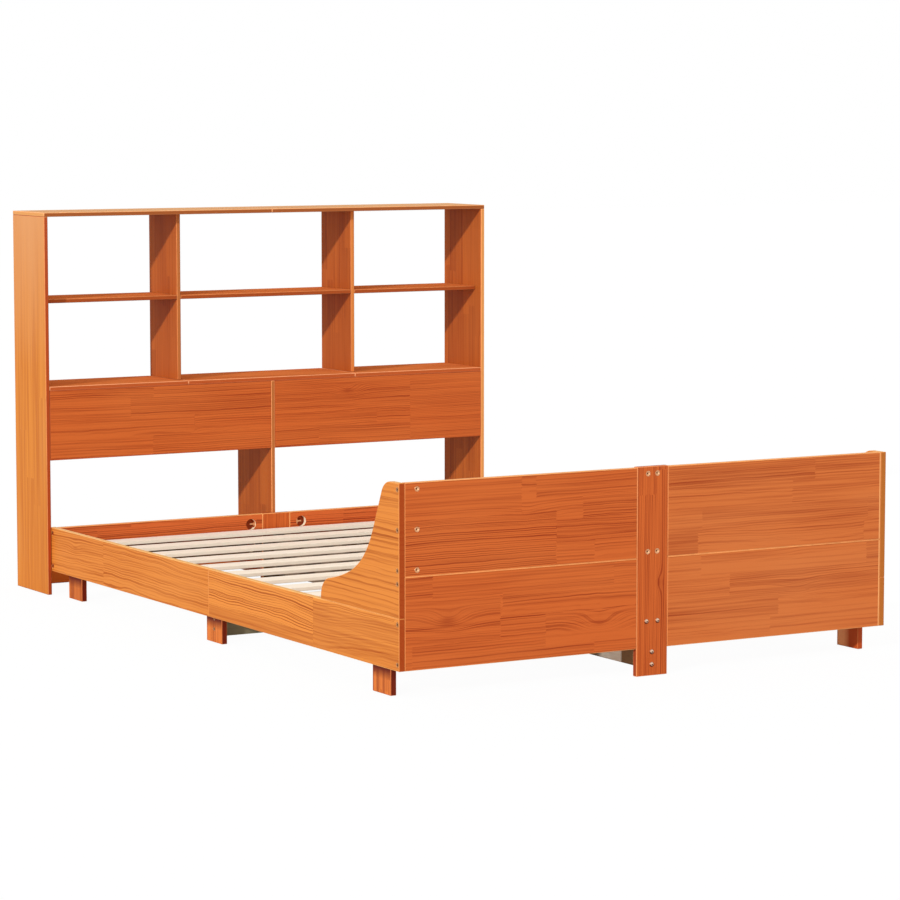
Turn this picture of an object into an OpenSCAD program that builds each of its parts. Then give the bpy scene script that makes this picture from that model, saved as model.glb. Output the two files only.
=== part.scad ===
// Double bed frame in solid pine with a high footboard, curved side wings,
// a slatted base and an open bookcase for a headboard.
// X runs across the bed, Y runs from the foot to the head, Z is up.
// The origin is on the floor under the middle of the whole piece of furniture.

/* [Bed] */
// Outer width across the two side rails
bed_w = 1455; // [1255:1:1655]
// Length from the footboard's front face to the head rail's back face
bed_len = 2055; // [1955:1:2155]
// Thickness of the rails, wings, footboard boards, planks and legs
board_t = 16; // [15:1:20]
// Height of the side rails and of the head rail
rail_h = 128; // [120:1:150]
// Clear height between the floor and the rails
floor_gap = 70; // [66:1:110]

/* [Footboard] */
// Height of each of the two rows of boards in the footboard
foot_board_h = 228; // [200:1:260]
// Width of the upright planks in the middle of the footboard and of the head rail
plank_w = 92; // [80:1:120]
// How far the foot plank stands above the boards beside it
plank_rise = 2; // [0:0.5:6]
// Width of the batten that holds the foot plank and boards together from behind
batten_w = 140; // [130:1:200]
// How far the batten's top stays below the top of the boards
batten_drop = 4; // [0:1:6]

/* [Wings] */
// Length of a wing along the rail that it stands on
wing_len = 397; // [340:1:480]
// Flat stretch on top of a wing, from the footboard's front face
wing_flat = 45; // [25:1:60]
// Radius of a wing's top corner
wing_corner_r = 45; // [30:1:60]
// Steepness of the straight slope below the corner, in degrees
wing_slope = 66; // [60:1:72]
// Length of that straight slope
wing_slope_len = 98; // [70:1:120]
// Pull of the sweep where it leaves the slope
wing_pull_top = 105; // [80:1:120]
// Pull of the sweep where it runs into the nose
wing_pull_nose = 130; // [90:1:140]
// Radius of the nose at a wing's low end
wing_nose_r = 50; // [35:1:60]
// Height of the nose's centre above the rail
wing_nose_rise = 8; // [0:1:20]
// Steepness where the sweep meets the nose, in degrees
wing_nose_slope = 11; // [6:1:16]

/* [Legs and base] */
// Width of each leg board
leg_w = 90; // [80:1:120]
// Distance from the footboard's front face to the foot legs
foot_leg_inset = 70; // [40:1:140]
// Distance from the head rail's back face to the head legs
head_leg_inset = 84; // [40:1:140]
// Thickness of the centre beam and of the cross beam
beam_t = 18; // [16:1:24]
// Clear height between the floor and the two beams
beam_gap = 16; // [10:1:18]
// Thickness of the cleats that carry the slats' ends
cleat_w = 20; // [18:1:28]
// Height of those cleats
cleat_h = 30; // [26:1:34]

/* [Slats] */
// Number of slats
slat_count = 13; // [9:1:15]
// Width of a slat
slat_w = 66; // [50:1:80]
// Thickness of a slat
slat_t = 10; // [8:1:14]
// Depth of the slats' top faces below the top of the rails
slat_drop = 45; // [40:1:48]
// Gap between the head rail and the nearest slat
slat_head_gap = 10; // [4:1:30]
// Gap between the footboard and the nearest slat
slat_foot_gap = 81; // [30:1:90]
// Gap between a slat's end and the side rail
slat_end_gap = 2; // [1:0.5:5]

/* [Bookcase] */
// Gap between a side rail and the bookcase's side that it runs in beside
case_gap = 0.5; // [0.5:0.5:10]
// How far the side rails run on past the head rail, inside the bookcase's sides
rail_tail = 8; // [4:1:16]
// Depth of the bookcase
case_depth = 226; // [200:1:280]
// Overall height of the bookcase
case_h = 1112; // [1060:1:1250]
// Thickness of the bookcase's boards
case_t = 12; // [12:1:18]
// How far the dividers and the middle shelves stand back from the front
shelf_recess = 36; // [10:1:60]
// Clear distance between the two dividers
divider_gap = 575; // [400:1:700]
// How far the outer bottom shelves run on past the dividers
shelf_overrun = 6; // [0:1:12]
// Height of the front panels' lower edge above the floor
panel_z = 393; // [330:1:420]
// Height of the front panels
panel_h = 203; // [170:1:240]
// Height of the kick board across the back
kick_h = 100; // [60:1:180]

/* [Fasteners] */
// Distance from a board's edge to the nearest bolt or screw
edge_inset = 16; // [14:1:20]
// Diameter of the long bolts through the rails and wings
bolt_d = 6; // [5:0.5:7]
// Diameter of their flat heads
bolt_head_d = 12; // [10:0.5:14]
// Length of those bolts
bolt_len = 57; // [52:1:60]
// Diameter of the barrel nuts that the bolts screw into
barrel_d = 13; // [9:0.5:14]
// Length of a barrel nut
barrel_len = 13; // [11:0.5:14]
// Distance from the rail's outer face to the barrel nuts
barrel_inset = 50; // [40:1:52]
// Diameter of the heads of the wood screws
screw_head_d = 9; // [8:0.5:10]
// Diameter of the wood screws
screw_d = 4.5; // [4:0.5:5]
// Diameter of the heads of the screws in the foot plank
plank_screw_head_d = 13; // [9:0.5:14]
// Distance between the two screws of a pair in the foot plank
plank_screw_gap = 28; // [20:1:40]
// Diameter of the domed bolts' heads
dome_d = 12.5; // [11:0.5:16]
// How far those heads stand out
dome_h = 3; // [2:0.5:4]
// Distance between the two domed bolts of the pair
dome_gap = 33; // [24:1:44]
// Height of that pair above the rails' lower edge
dome_rise = 68; // [40:1:80]
// Diameter of the round pockets in the head rail
pocket_d = 32; // [30:1:36]
// Depth of those pockets
pocket_depth = 12; // [11:0.5:13]
// Distance from a pocket's centre to the centre plank
pocket_inset = 39; // [34:1:50]
// Distance from a pocket's centre to the head rail's upper or lower edge
pocket_drop = 30; // [26:1:34]
// Diameter of the threaded rods in those pockets
pocket_bolt_d = 5; // [4:0.5:5.5]
// Width across the flats of their nuts
pocket_nut_w = 8; // [7:0.5:9]
// Thickness of those nuts
pocket_nut_h = 4; // [3:0.5:5]
// Thickness of the half-moon washer between a nut and the pocket's wall
half_moon_t = 4; // [3:0.5:6]
// How far a pocket's threaded rod reaches into the centre plank
pocket_bolt_grip = 25; // [18:1:32]
// How far its other end stands out past the nut
pocket_bolt_tail = 10; // [5:1:12]
// Diameter of the dowels
dowel_d = 6; // [5:0.5:7]
// Depth of a dowel in the face of a board
dowel_seat = 8; // [6:1:9]
// Depth of a dowel in the end or edge of a board
dowel_reach = 22; // [15:1:30]
// Diameter of the screws that hold the slats
slat_screw_d = 3.5; // [3:0.5:4]

/* [Edges and clearances] */
// Width of the small bevel along every board's edges
bevel = 1.5; // [0.5:0.5:2.5]
// Clearance round bolts, screws, nuts and dowels and in the notches
fit = 0.2; // [0.1:0.05:0.3]

/* [Hidden] */
slat_names = [for (i = [1 : slat_count]) str("slat_", i)];
$fn = 32;
left = -1;
right = 1;

// Planes across the bed's length
total_len = dome_h + bed_len + case_depth;
foot_y = dome_h - total_len / 2;
foot_in = foot_y + board_t;
mid_y = foot_y + bed_len / 2;
head_y = foot_y + bed_len;
head_in = head_y - board_t;
case_back = head_y + case_depth;
shelf_front = head_y + shelf_recess;
leg_centres = [
    foot_y + foot_leg_inset + leg_w / 2,
    mid_y,
    head_y - head_leg_inset - leg_w / 2
];

// Planes across the bed's width, as distances from the middle
out_x = bed_w / 2;
in_x = out_x - board_t;
leg_in_x = in_x - board_t;
cleat_in_x = in_x - cleat_w;
plank_x = plank_w / 2;
case_out_x = out_x + case_gap + case_t;
case_in_x = case_out_x - case_t;
divider_x = divider_gap / 2;
shelf_joint_x = divider_x - shelf_overrun;

// Heights
rail_top = floor_gap + rail_h;
foot_mid = floor_gap + foot_board_h;
foot_top = foot_mid + foot_board_h;
slat_top = rail_top - slat_drop;
slat_bottom = slat_top - slat_t;
cleat_bottom = slat_bottom - cleat_h;
lap_z = (beam_gap + cleat_bottom) / 2;
panel_top = panel_z + panel_h;
low_shelf_top = panel_top + case_t;
case_top_bottom = case_h - case_t;
mid_shelf_z = (low_shelf_top + case_top_bottom - case_t) / 2;
slat_pitch = (head_in - foot_in - slat_head_gap - slat_foot_gap - slat_w) / (slat_count - 1);

stained = [0.80, 0.42, 0.20];
stained_side = [0.87, 0.51, 0.25];
raw_pine = [0.93, 0.87, 0.78];
steel = [0.74, 0.74, 0.72];

// Spans: a piece that lies on one side, mirrored by its sign, and one centred on a line
function on_side(s, near, far) = s < 0 ? [-far, -near] : [near, far];
function about(c, size) = [c - size / 2, c + size / 2];

// Outline of a board's face with its four corners bevelled
function bevelled(w, h) = [
    [bevel, 0], [w - bevel, 0], [w, bevel], [w, h - bevel],
    [w - bevel, h], [bevel, h], [0, h - bevel], [0, bevel]
];

// A board between the given spans, with every edge bevelled
module board(x, y, z) {
    sx = x[1] - x[0];
    sy = y[1] - y[0];
    sz = z[1] - z[0];
    translate([x[0], y[0], z[0]])
        intersection() {
            linear_extrude(sz) polygon(bevelled(sx, sy));
            translate([0, sy, 0]) rotate([90, 0, 0]) linear_extrude(sy) polygon(bevelled(sx, sz));
            rotate([90, 0, 90]) linear_extrude(sx) polygon(bevelled(sy, sz));
        }
}

// A plain block between the given spans, used to cut notches
module block(x, y, z) {
    translate([x[0], y[0], z[0]]) cube([x[1] - x[0], y[1] - y[0], z[1] - z[0]]);
}

// Turns what points up so that it points along a row axis
module along(way) {
    rotate([(way[2] < 0 ? 180 : 0) - 90 * way[1], 90 * way[0], 0]) children();
}

// Fasteners. Each is [start, direction, length, shank diameter, head diameter].
over = 1;
leg_screw_len = 28;
plank_screw_len = 30;
leg_screw_spread = 25;
cleat_screw_len = 30;
cleat_screw_count = 6;
cleat_screw_inset = 150;
slat_screw_len = 24;
slat_screw_head_d = 7;
beam_screw_len = 50;
beam_bolt_rises = [12, 44];
leg_screw_rises = [20, 48];
beam_screw_rises = [34, 94];
batten_screw_inset = 12;

function row_heights(z) = [z + edge_inset, z + foot_board_h / 2, z + foot_board_h - edge_inset];
foot_bolt_zs = concat(row_heights(floor_gap), row_heights(foot_mid));
head_bolt_zs = [floor_gap + edge_inset, rail_top - edge_inset];
pocket_zs = [floor_gap + pocket_drop, rail_top - pocket_drop];
foot_bolt_y = foot_y + board_t / 2;
head_bolt_y = head_y - board_t / 2;

side_bolt_list = [
    for (s = [left, right])
        for (p = concat(
                [for (z = foot_bolt_zs) [foot_bolt_y, z]],
                [for (z = head_bolt_zs) [head_bolt_y, z]]
        ))
            [[s * out_x, p[0], p[1]], [-s, 0, 0], bolt_len, bolt_d, bolt_head_d]
];

// Barrel nuts are pushed in from the back, but those of the upper left board from the front
function barrel_way(s, z) = s == left && z > foot_mid ? 1 : -1;
barrel_list = concat(
    [for (s = [left, right]) for (z = foot_bolt_zs)
        [[s * (out_x - barrel_inset), barrel_way(s, z) > 0 ? foot_y : foot_in, z],
         [0, barrel_way(s, z), 0], barrel_len, barrel_d, barrel_d]],
    [for (s = [left, right]) for (z = head_bolt_zs)
        [[s * (out_x - barrel_inset), head_y, z], [0, -1, 0], barrel_len, barrel_d, barrel_d]]
);

domed_list = concat(
    [for (s = [left, right])
        [[s * dome_gap / 2, foot_y, floor_gap + dome_rise], [0, 1, 0], plank_screw_len - 2, bolt_d, dome_d]],
    [for (r = beam_bolt_rises) [[0, foot_y, beam_gap + r], [0, 1, 0], beam_screw_len, bolt_d, dome_d]]
);

plank_screws = [
    for (s = [left, right]) for (z = [foot_mid + edge_inset, foot_top - edge_inset])
        [[s * plank_screw_gap / 2, foot_y, z], [0, 1, 0], plank_screw_len, screw_d, plank_screw_head_d]
];
batten_screws = [
    for (s = [left, right]) for (z0 = [floor_gap, foot_mid]) for (part = [0.25, 0.75])
        [[s * (batten_w / 2 - batten_screw_inset), foot_in + board_t, z0 + part * foot_board_h],
         [0, -1, 0], leg_screw_len, screw_d, screw_head_d]
];
leg_end_screws = [
    for (s = [left, right]) for (r = leg_screw_rises)
        [[s * in_x, mid_y, beam_gap + r], [-s, 0, 0], beam_screw_len, screw_d, screw_head_d]
];
leg_screws = [
    for (s = [left, right]) for (c = leg_centres) for (side = [-1, 1])
        [[s * leg_in_x, c + side * leg_screw_spread, (floor_gap + cleat_bottom) / 2],
         [s, 0, 0], leg_screw_len, screw_d, screw_head_d]
];
cleat_screws = [
    for (s = [left, right]) for (i = [0 : cleat_screw_count - 1])
        [[s * cleat_in_x,
          foot_in + cleat_screw_inset
            + i * (head_in - foot_in - 2 * cleat_screw_inset) / (cleat_screw_count - 1),
          (slat_bottom + cleat_bottom) / 2],
         [s, 0, 0], cleat_screw_len, screw_d, screw_head_d]
];
beam_screws = [
    for (r = beam_screw_rises) [[0, head_y, beam_gap + r], [0, -1, 0], beam_screw_len, screw_d, screw_head_d]
];
slat_screws = [
    for (s = [left, right]) for (i = [1 : slat_count])
        [[s * (cleat_in_x + cleat_w / 2), slat_y(i) + slat_w / 2, slat_top],
         [0, 0, -1], slat_screw_len, slat_screw_d, slat_screw_head_d]
];
screw_list = concat(
    plank_screws, batten_screws, leg_end_screws, leg_screws, cleat_screws, beam_screws, slat_screws
);

// Dowels, each given by the middle of the joint that it crosses and its depth on either side of it
dowel_edge = 40;
divider_dowel_edge = 60;
panel_dowel_rise = 70;
wing_dowel_ys = [70, 190, 310];
function dowel(p, way, back, on) = [p - way * back, way, back + on, dowel_d, dowel_d];
across = [1, 0, 0];
inward = [0, 1, 0];
upward = [0, 0, 1];
low_shelf_mid = low_shelf_top - case_t / 2;
mid_shelf_mid = mid_shelf_z + case_t / 2;
top_mid = case_h - case_t / 2;
full_depth_ys = [head_y + dowel_edge, case_back - dowel_edge];
recessed_ys = [shelf_front + dowel_edge, case_back - dowel_edge];
divider_ys = [shelf_front + dowel_edge, case_back - divider_dowel_edge];
through_reach = case_t + dowel_reach;

side_panel_dowels = concat(
    [for (s = [left, right]) for (y = recessed_ys)
        dowel([s * case_in_x, y, mid_shelf_mid], -s * across, dowel_seat, dowel_reach)],
    [for (s = [left, right]) for (y = full_depth_ys)
        dowel([s * case_in_x, y, low_shelf_mid], -s * across, dowel_seat, dowel_reach)],
    [for (s = [left, right]) for (y = full_depth_ys)
        dowel([s * (case_in_x + case_t / 2), y, case_top_bottom], upward, dowel_reach, dowel_seat)],
    [for (s = [left, right]) for (z = about((panel_z + panel_top) / 2, 2 * panel_dowel_rise))
        dowel([s * case_in_x, head_y + case_t / 2, z], -s * across, dowel_seat, dowel_reach)],
    [for (s = [left, right]) for (z = about(kick_h / 2, kick_h / 2))
        dowel([s * case_in_x, case_back - case_t / 2, z], -s * across, dowel_seat, dowel_reach)]
);
shelf_dowels = concat(
    [for (s = [left, right]) for (y = recessed_ys)
        dowel([s * divider_x, y, mid_shelf_mid], s * across, dowel_reach, through_reach)],
    [for (s = [left, right]) for (y = divider_ys) for (z = [low_shelf_top, case_top_bottom])
        dowel([s * (divider_x + case_t / 2), y, z], upward,
              z == low_shelf_top ? dowel_seat : dowel_reach,
              z == low_shelf_top ? dowel_reach : dowel_seat)],
    [for (s = [left, right]) for (y = full_depth_ys)
        dowel([s * shelf_joint_x, y, low_shelf_mid], across, dowel_reach, dowel_reach)],
    [for (y = full_depth_ys) dowel([0, y, top_mid], across, dowel_reach, dowel_reach)],
    [for (y = divider_ys) dowel([0, y, panel_top], upward, dowel_reach, dowel_seat)],
    [for (z = about((panel_z + panel_top) / 2, 2 * panel_dowel_rise))
        dowel([-case_t / 2, head_y + case_t / 2, z], across, dowel_reach, through_reach)]
);
bed_dowels = concat(
    [for (s = [left, right]) for (y = wing_dowel_ys)
        dowel([s * (out_x - board_t / 2), foot_y + y, rail_top], upward, dowel_reach, dowel_reach)],
    [for (z = [floor_gap + 2 * dowel_seat, rail_top - pocket_drop])
        dowel([0, head_y, z], inward, dowel_seat, dowel_reach)]
);
dowel_list = concat(side_panel_dowels, shelf_dowels, bed_dowels);

// The box round a fastener, and whether it reaches into a board's box
function fastener_box(f) =
    let (a = f[0], b = f[0] + f[1] * f[2])
    [for (i = [0 : 2])
        [min(a[i], b[i]) - (f[1][i] == 0 ? f[4] / 2 : 0), max(a[i], b[i]) + (f[1][i] == 0 ? f[4] / 2 : 0)]];
function overlap(p, q) = min(p[1], q[1]) - max(p[0], q[0]);
function reaches(f, box) = min([for (i = [0 : 2]) overlap(fastener_box(f)[i], box[i])]) > 0.01;

module countersunk_bore(f) {
    head = (f[4] - f[3]) / 2;
    translate(f[0]) along(f[1]) {
        translate([0, 0, -over]) cylinder(h = f[2] + over + fit, d = f[3] + 2 * fit);
        translate([0, 0, -over]) cylinder(h = over, d = f[4] + 2 * fit);
        cylinder(h = head, d1 = f[4] + 2 * fit, d2 = f[3] + 2 * fit);
    }
}

module straight_bore(f, start) {
    translate(f[0]) along(f[1])
        translate([0, 0, -start]) cylinder(h = f[2] + start + fit, d = f[3] + 2 * fit);
}

// A board drilled for every fastener that reaches into it
module drilled(x, y, z) {
    box = [x, y, z];
    difference() {
        board(x, y, z);
        bores(box);
    }
}

module bores(box) {
    for (f = concat(side_bolt_list, screw_list)) if (reaches(f, box)) countersunk_bore(f);
    for (f = concat(barrel_list, domed_list)) if (reaches(f, box)) straight_bore(f, over);
    for (f = dowel_list) if (reaches(f, box)) straight_bore(f, fit);
}

// Side rails, each in two lengths that meet over the middle leg
module side_rail(s, y) {
    color(stained_side) drilled(on_side(s, in_x, out_x), y, [floor_gap, rail_top]);
}
module side_rail_left_foot() { side_rail(left, [foot_y, mid_y]); }
module side_rail_left_head() { side_rail(left, [mid_y, head_y + rail_tail]); }
module side_rail_right_foot() { side_rail(right, [foot_y, mid_y]); }
module side_rail_right_head() { side_rail(right, [mid_y, head_y + rail_tail]); }

// Wings: flat top, round corner, straight slope, swept curve and round nose
arc_steps = 8;
sweep_steps = 14;
function turn(c, r, from, to) =
    [for (i = [0 : arc_steps]) let (a = from + (to - from) * i / arc_steps) c + r * [cos(a), sin(a)]];
function sweep(p, q, r, s) =
    [for (i = [1 : sweep_steps - 1]) let (t = i / sweep_steps, u = 1 - t)
        u * u * u * p + 3 * u * u * t * q + 3 * u * t * t * r + t * t * t * s];
corner_centre = [wing_flat, foot_top - wing_corner_r];
slope_way = [cos(wing_slope), -sin(wing_slope)];
slope_start = corner_centre + wing_corner_r * [sin(wing_slope), cos(wing_slope)];
slope_end = slope_start + wing_slope_len * slope_way;
nose_centre = [wing_len - wing_nose_r, rail_top + wing_nose_rise];
nose_start = nose_centre + wing_nose_r * [sin(wing_nose_slope), cos(wing_nose_slope)];
nose_way = [cos(wing_nose_slope), -sin(wing_nose_slope)];
wing_outline = concat(
    [[0, rail_top], [0, foot_top]],
    turn(corner_centre, wing_corner_r, 90, 90 - wing_slope),
    [slope_end],
    sweep(slope_end, slope_end + wing_pull_top * slope_way, nose_start - wing_pull_nose * nose_way, nose_start),
    turn(nose_centre, wing_nose_r, 90 - wing_nose_slope, 0),
    [[wing_len, rail_top]]
);

module wing(s) {
    x = on_side(s, in_x, out_x);
    color(stained_side) difference() {
        translate([x[0], foot_y, 0]) rotate([90, 0, 90]) linear_extrude(board_t) polygon(wing_outline);
        bores([x, [foot_y, foot_y + wing_len], [rail_top, foot_top]]);
    }
}
module wing_left() { wing(left); }
module wing_right() { wing(right); }

// Footboard: two rows of boards either side of a plank that runs down to the floor
module foot_board(s, z) {
    color(stained) drilled(on_side(s, plank_x, in_x), [foot_y, foot_in], [z, z + foot_board_h]);
}
module footboard_lower_left() { foot_board(left, floor_gap); }
module footboard_lower_right() { foot_board(right, floor_gap); }
module footboard_upper_left() { foot_board(left, foot_mid); }
module footboard_upper_right() { foot_board(right, foot_mid); }
module footboard_plank() {
    color(stained) drilled(about(0, plank_w), [foot_y, foot_in], [0, foot_top + plank_rise]);
}
module footboard_batten() {
    color(raw_pine) drilled(about(0, batten_w), [foot_in, foot_in + board_t], [floor_gap, foot_top - batten_drop]);
}

// Head rail: two boards bolted to a plank through round pockets in their inner faces
pocket_x = plank_x + pocket_inset;
pocket_axis_y = head_in + pocket_depth / 2;
washer_face_x = pocket_x - pocket_d / 2 + half_moon_t;

module pocket_bolt_bore(s, z) {
    grip = washer_face_x - plank_x + pocket_bolt_grip;
    translate([s * washer_face_x, pocket_axis_y, z]) along([-s, 0, 0])
        cylinder(h = grip + fit, d = pocket_bolt_d + 2 * fit);
}
module head_rail(s) {
    color(stained) difference() {
        drilled(on_side(s, plank_x, in_x), [head_in, head_y], [floor_gap, rail_top]);
        for (z = pocket_zs) {
            translate([s * pocket_x, head_in - over, z]) along([0, 1, 0])
                cylinder(h = pocket_depth + over, d = pocket_d);
            pocket_bolt_bore(s, z);
        }
    }
}
module head_rail_left() { head_rail(left); }
module head_rail_right() { head_rail(right); }
module head_plank() {
    color(stained) difference() {
        drilled(about(0, plank_w), [head_in, head_y], [0, rail_top]);
        for (s = [left, right]) for (z = pocket_zs) pocket_bolt_bore(s, z);
    }
}

// Legs: short boards screwed to the inner faces of the rails, under the cleats
module leg(s, i) {
    color(stained_side) drilled(on_side(s, leg_in_x, in_x), about(leg_centres[i], leg_w), [0, cleat_bottom]);
}
module leg_left_foot() { leg(left, 0); }
module leg_left_middle() { leg(left, 1); }
module leg_left_head() { leg(left, 2); }
module leg_right_foot() { leg(right, 0); }
module leg_right_middle() { leg(right, 1); }
module leg_right_head() { leg(right, 2); }

// Cleats along the rails that carry the slats' ends
module slat_cleat(s) {
    color(raw_pine) drilled(on_side(s, cleat_in_x, in_x), [foot_in, head_in], [cleat_bottom, slat_bottom]);
}
module slat_cleat_left() { slat_cleat(left); }
module slat_cleat_right() { slat_cleat(right); }

// Beams on edge under the slats, halved over each other where they cross
module centre_beam() {
    color(raw_pine) difference() {
        drilled(about(0, beam_t), [foot_in, head_in], [beam_gap, slat_bottom]);
        block(about(0, beam_t + 2 * over), [foot_in - over, foot_in + board_t], [floor_gap - fit, slat_bottom + over]);
        block(about(0, beam_t + 2 * over), about(mid_y, beam_t + 2 * fit), [beam_gap - over, lap_z + fit / 2]);
    }
}
module cross_beam() {
    color(raw_pine) difference() {
        drilled([-leg_in_x, leg_in_x], about(mid_y, beam_t), [beam_gap, cleat_bottom]);
        block(about(0, beam_t + 2 * fit), about(mid_y, beam_t + 2 * over), [lap_z - fit / 2, cleat_bottom + over]);
    }
}

// Slats, counted from the foot
function slat_y(i) = foot_in + slat_foot_gap + (i - 1) * slat_pitch;
module slat(i) {
    reach = in_x - slat_end_gap;
    color(raw_pine) drilled([-reach, reach], [slat_y(i), slat_y(i) + slat_w], [slat_bottom, slat_top]);
}

// Bookcase
module case_side(s) {
    color(stained_side) drilled(on_side(s, case_in_x, case_out_x), [head_y, case_back], [0, case_top_bottom]);
}
module case_side_left() { case_side(left); }
module case_side_right() { case_side(right); }

module case_top(s) {
    color(stained) drilled(on_side(s, 0, case_out_x), [head_y, case_back], [case_top_bottom, case_h]);
}
module case_top_left() { case_top(left); }
module case_top_right() { case_top(right); }

module case_divider(s) {
    color(stained_side)
        drilled(on_side(s, divider_x, divider_x + case_t), [shelf_front, case_back], [low_shelf_top, case_top_bottom]);
}
module case_divider_left() { case_divider(left); }
module case_divider_right() { case_divider(right); }

module mid_shelf(x) {
    color(stained) drilled(x, [shelf_front, case_back], [mid_shelf_z, mid_shelf_z + case_t]);
}
module case_mid_shelf_left() { mid_shelf(on_side(left, divider_x + case_t, case_in_x)); }
module case_mid_shelf_centre() { mid_shelf(about(0, divider_gap)); }
module case_mid_shelf_right() { mid_shelf(on_side(right, divider_x + case_t, case_in_x)); }

module low_shelf(x) {
    color(stained) drilled(x, [head_y, case_back], [panel_top, low_shelf_top]);
}
module case_low_shelf_left() { low_shelf(on_side(left, shelf_joint_x, case_in_x)); }
module case_low_shelf_centre() { low_shelf(about(0, 2 * shelf_joint_x)); }
module case_low_shelf_right() { low_shelf(on_side(right, shelf_joint_x, case_in_x)); }

module case_panel(s) {
    color(stained) drilled(on_side(s, case_t / 2, case_in_x), [head_y, head_y + case_t], [panel_z, panel_top]);
}
module case_panel_left() { case_panel(left); }
module case_panel_right() { case_panel(right); }

module case_upright() {
    color(stained_side) difference() {
        drilled(about(0, case_t), [head_y, case_back], [0, panel_top]);
        block(about(0, case_t + 2 * over), [case_back - case_t - fit, case_back + over], [-over, kick_h + fit]);
    }
}
module case_kick_board() {
    color(stained) drilled([-case_in_x, case_in_x], [case_back - case_t, case_back], [0, kick_h]);
}

// Fasteners
module recessed_screw(f, recess) {
    head = (f[4] - f[3]) / 2;
    slot = f[4] / 8;
    translate(f[0]) along(f[1]) difference() {
        union() {
            cylinder(h = f[2] - f[3], d = f[3]);
            cylinder(h = head, d1 = f[4], d2 = f[3]);
            translate([0, 0, f[2] - f[3]]) cylinder(h = f[3], d1 = f[3], d2 = f[3] / 4);
        }
        if (recess > 0) {
            translate([0, 0, -over]) block(about(0, f[4] / 2), about(0, slot), [0, over + recess]);
            translate([0, 0, -over]) block(about(0, slot), about(0, f[4] / 2), [0, over + recess]);
        }
    }
}

// A cross recess no deeper than the head leaves room for
function recess_depth(f) = min((f[4] - f[3]) / 2, f[4] / 4);

module side_bolts() {
    color(steel) for (f = side_bolt_list) recessed_screw(f, recess_depth(f));
}

module barrel_nuts() {
    color(steel) for (f = barrel_list)
        difference() {
            translate(f[0]) along(f[1]) cylinder(h = f[2], d = f[3]);
            translate(f[0] + board_t / 2 * f[1]) rotate([0, 90, 0])
                cylinder(h = 2 * f[3], d = bolt_d + 2 * fit, center = true);
        }
}

module domed_bolts() {
    color(steel) for (f = domed_list)
        translate(f[0]) along(f[1]) {
            cylinder(h = f[2], d = f[3]);
            dome(f[4], dome_h);
        }
}

// A low round head that stands out of the face, as a slice of a ball
module dome(d, h) {
    r = (d * d / 4 + h * h) / (2 * h);
    rotate_extrude() intersection() {
        translate([0, r - h]) circle(r, $fn = 96);
        translate([0, -h]) square([d / 2, h]);
    }
}

// Threaded rods in the pockets, each with a nut and a half-moon washer against the pocket's wall
module pocket_bolt(s, z) {
    grip = washer_face_x - plank_x + pocket_bolt_grip;
    tail = pocket_nut_h + pocket_bolt_tail;
    translate([s * washer_face_x, pocket_axis_y, z]) along([-s, 0, 0]) {
        translate([0, 0, -pocket_nut_h]) cylinder(h = pocket_nut_h, d = pocket_nut_w / cos(30), $fn = 6);
        translate([0, 0, -tail]) cylinder(h = tail + grip, d = pocket_bolt_d);
    }
}
module half_moon(s, z) {
    moon_y = about(pocket_axis_y, pocket_nut_w);
    difference() {
        intersection() {
            translate([s * pocket_x, moon_y[0], z]) along([0, 1, 0])
                cylinder(h = pocket_nut_w, d = pocket_d - 2 * fit);
            block(on_side(s, washer_face_x - pocket_d, washer_face_x), moon_y, about(z, pocket_d));
        }
        translate([s * pocket_x, pocket_axis_y, z]) rotate([0, 90, 0])
            cylinder(h = 2 * pocket_d, d = pocket_bolt_d + 2 * fit, center = true);
    }
}
module pocket_bolts() {
    color(steel) for (s = [left, right]) for (z = pocket_zs) {
        pocket_bolt(s, z);
        half_moon(s, z);
    }
}

module wood_screws() {
    color(steel) for (f = screw_list) recessed_screw(f, f[1][2] < 0 ? 0 : recess_depth(f));
}

module dowels() {
    color(raw_pine) for (f = dowel_list) translate(f[0]) along(f[1]) cylinder(h = f[2], d = f[3]);
}

side_rail_left_foot();
side_rail_left_head();
side_rail_right_foot();
side_rail_right_head();
wing_left();
wing_right();
footboard_lower_left();
footboard_lower_right();
footboard_upper_left();
footboard_upper_right();
footboard_plank();
footboard_batten();
head_rail_left();
head_rail_right();
head_plank();
leg_left_foot();
leg_left_middle();
leg_left_head();
leg_right_foot();
leg_right_middle();
leg_right_head();
slat_cleat_left();
slat_cleat_right();
centre_beam();
cross_beam();
for (i = [1 : slat_count]) slat(i);
case_side_left();
case_side_right();
case_top_left();
case_top_right();
case_divider_left();
case_divider_right();
case_mid_shelf_left();
case_mid_shelf_centre();
case_mid_shelf_right();
case_low_shelf_left();
case_low_shelf_centre();
case_low_shelf_right();
case_panel_left();
case_panel_right();
case_upright();
case_kick_board();
side_bolts();
barrel_nuts();
domed_bolts();
pocket_bolts();
wood_screws();
dowels();
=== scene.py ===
import math

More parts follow.
